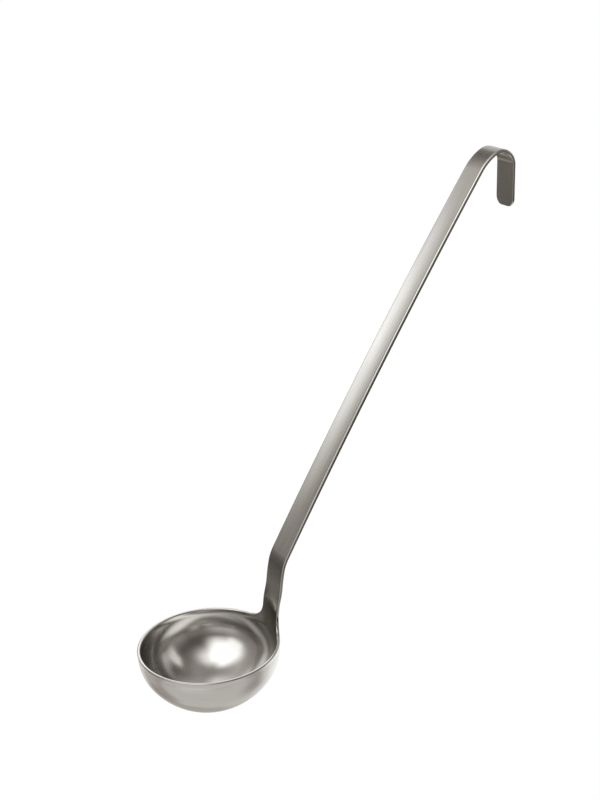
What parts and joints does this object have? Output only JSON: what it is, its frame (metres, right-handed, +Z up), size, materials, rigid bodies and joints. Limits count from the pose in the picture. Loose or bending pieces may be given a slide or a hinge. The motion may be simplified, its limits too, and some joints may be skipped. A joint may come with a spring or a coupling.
{
  "type": "soup ladle",
  "caption": "Stainless soup ladle: round deep bowl, cranked flat strip handle leaning back, and a down-turned end hook to hang it on a rail.",
  "frame": {"origin": "on the axis of the rail that the hook hangs on, midway across the strip", "axes": "+Z up along the bowl's axis with the rim level, +X from the bowl towards the handle, +Y across the strip along the rail"},
  "size_m": [0.2701, 0.0898, 0.3261],
  "materials": {
    "bowl_steel": "satin polished stainless steel",
    "strip_steel": "stainless steel brushed along the strip"
  },
  "bodies": {
    "root": {"bowl": "bowl_steel", "weld_seam": "strip_steel", "handle": "strip_steel"}
  },
  "joints": []
}
